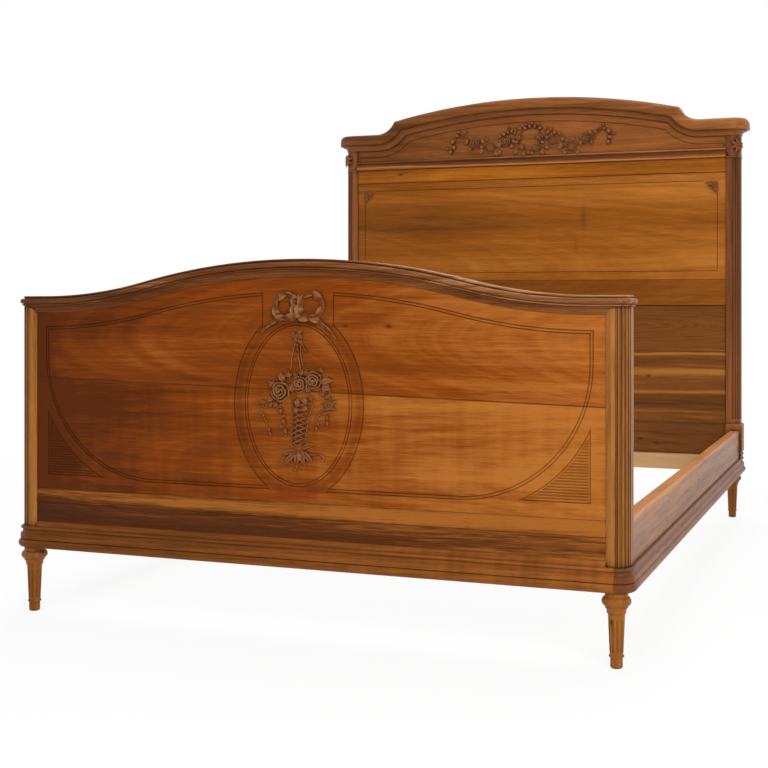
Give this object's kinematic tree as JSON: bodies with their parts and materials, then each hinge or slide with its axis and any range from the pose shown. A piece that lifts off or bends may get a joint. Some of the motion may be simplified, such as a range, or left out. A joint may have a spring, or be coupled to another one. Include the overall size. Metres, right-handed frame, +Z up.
{
  "type": "carved bedstead",
  "caption": "Carved walnut bedstead with a serpentine footboard, a stepped arched headboard, fluted corner posts, side rails and turned feet.",
  "frame": {"origin": "on the floor, under the middle of the whole bedstead", "axes": "+X to the right seen from the foot, +Y from the footboard to the headboard, +Z up"},
  "size_m": [1.62, 2.096, 1.566],
  "materials": {
    "walnut_golden": "waxed golden walnut with straight grain",
    "walnut_cap": "dark polished walnut moulding",
    "walnut_panel": "figured walnut, wax polished, redder towards one side",
    "walnut_dark": "dark brown walnut",
    "walnut_red": "reddish walnut with upright grain",
    "walnut_rail": "pinkish brown walnut with a soft sheen",
    "walnut_plank": "plain walnut, little polish",
    "walnut_carving": "carved walnut, dark in the hollows and rubbed on the high points",
    "beech": "raw pale beech",
    "iron": "dark forged iron",
    "steel": "dull steel"
  },
  "bodies": {
    "root": {"foot_post_left": "walnut_golden", "foot_post_right": "walnut_golden", "foot_cap": "walnut_cap", "foot_cap_ogee": "walnut_cap", "foot_panel_upper": "walnut_panel", "foot_panel_lower": "walnut_panel", "foot_bottom_rail": "walnut_dark", "foot_ribbon_carving": "walnut_carving", "foot_bouquet_carving": "walnut_carving", "foot_plinth_front": "walnut_golden", "foot_plinth_corner_left": "walnut_red", "foot_plinth_corner_right": "walnut_red", "front_foot_left": "walnut_golden", "front_foot_right": "walnut_golden", "rear_foot_left": "walnut_golden", "rear_foot_right": "walnut_golden", "side_rail_left": "walnut_rail", "side_rail_right": "walnut_rail", "side_plinth_left": "walnut_golden", "side_plinth_right": "walnut_golden", "side_ledger_left": "beech", "side_ledger_right": "beech", "ledger_screws": "steel", "rail_hooks": "iron", "rail_hook_pins": "steel", "post_slot_plates": "iron", "slot_plate_screws": "steel", "head_post_left": "walnut_golden", "head_post_right": "walnut_golden", "head_capital_carving_left": "walnut_carving", "head_capital_carving_right": "walnut_carving", "head_cornice": "walnut_cap", "head_cove": "walnut_dark", "head_frieze": "walnut_panel", "head_frieze_astragal": "walnut_golden", "head_garland_carving": "walnut_carving", "head_top_rail": "walnut_golden", "head_panel_upper": "walnut_panel", "head_corner_carving_left": "walnut_carving", "head_corner_carving_right": "walnut_carving", "head_plank_upper": "walnut_plank", "head_plank_middle": "walnut_plank", "head_plank_lower": "walnut_plank", "head_cross_rail": "beech", "head_plinth_corner_left": "walnut_red", "head_plinth_corner_right": "walnut_red"}
  },
  "joints": []
}
